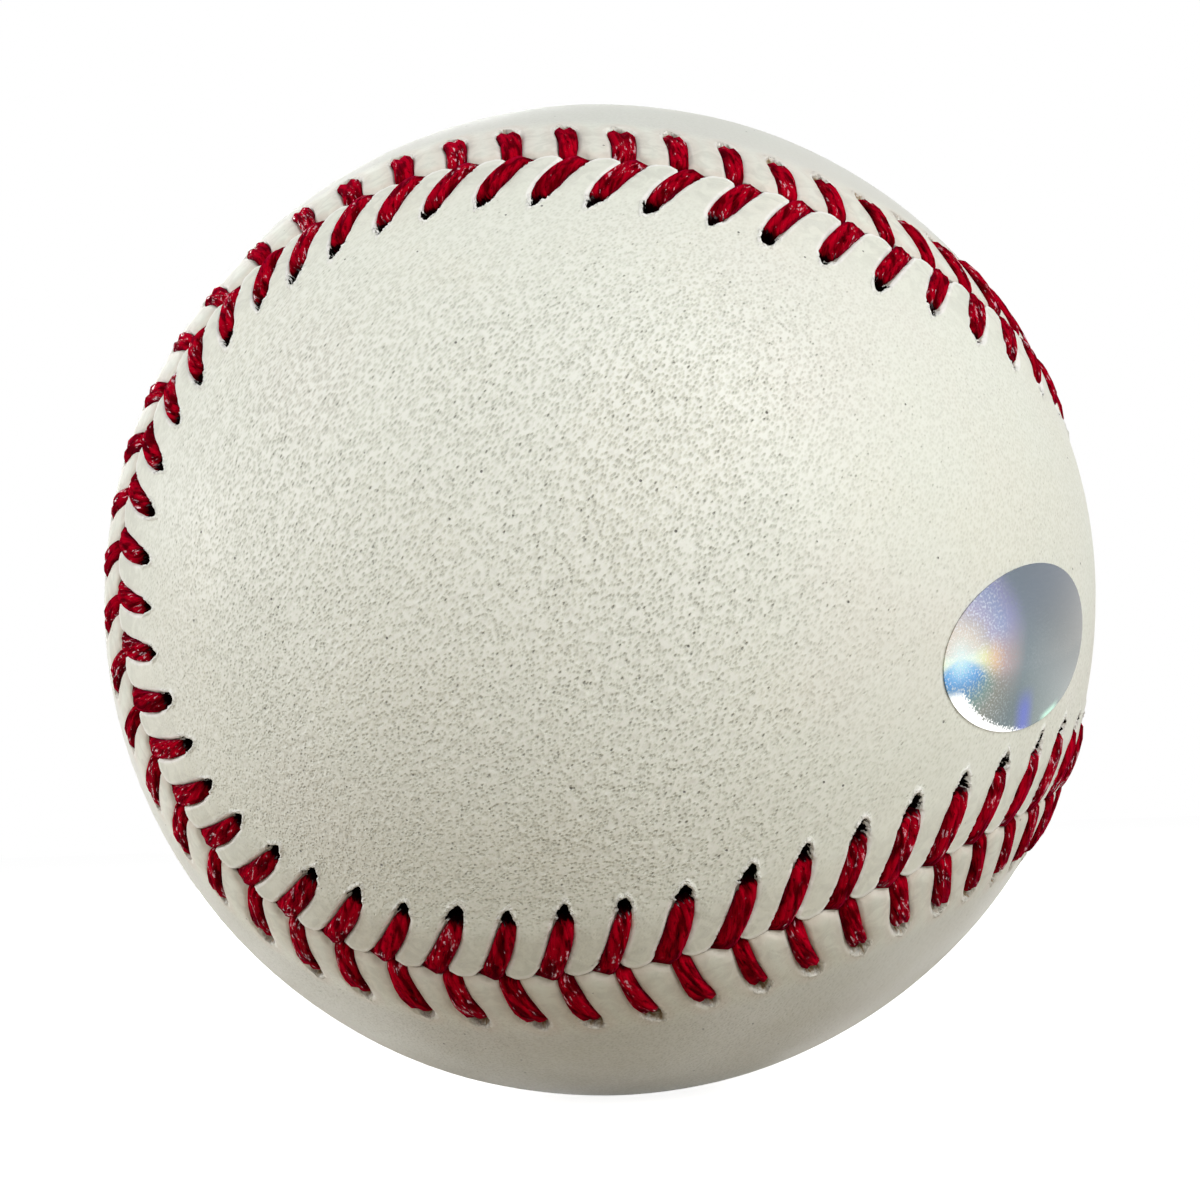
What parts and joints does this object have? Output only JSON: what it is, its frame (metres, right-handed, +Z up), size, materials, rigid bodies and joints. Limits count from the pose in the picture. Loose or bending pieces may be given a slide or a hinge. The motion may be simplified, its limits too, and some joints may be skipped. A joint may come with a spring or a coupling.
{
  "type": "baseball",
  "caption": "Regulation leather baseball with a cushioned cork centre, wool windings, a cowhide cover sewn with red herringbone stitches and a small foil sticker.",
  "frame": {"origin": "the ball's centre", "axes": "+Z up; panel A's lobes face -Y and +Y and its waist crosses +X; panel B's lobes face +Z and -Z and its waist crosses -X"},
  "size_m": [0.0744, 0.0744, 0.0744],
  "materials": {
    "cork_composition": "ground cork and rubber, matt",
    "black_rubber": "moulded, matt",
    "red_rubber": "moulded, matt",
    "gray_wool": "wound wool yarn",
    "white_wool": "wound wool yarn",
    "finishing_yarn": "fine wound yarn",
    "rubber_cement": "thin dried coat, satin",
    "cowhide": "full-grain, alum tanned, dull satin with fine pores",
    "waxed_thread": "twisted and waxed",
    "holographic_foil": "glossy silver foil that splits light into colours"
  },
  "bodies": {
    "root": {"cork_core": "cork_composition", "upper_black_shell": "black_rubber", "lower_black_shell": "black_rubber", "red_washer": "red_rubber", "red_rubber_layer": "red_rubber", "gray_wool_winding": "gray_wool", "white_wool_winding": "white_wool", "outer_gray_winding": "gray_wool", "finishing_yarn": "finishing_yarn", "cement_coat": "rubber_cement", "cover_panel_a": "cowhide", "cover_panel_b": "cowhide", "stitches_panel_a": "waxed_thread", "stitches_panel_b": "waxed_thread", "foil_sticker": "holographic_foil"}
  },
  "joints": []
}
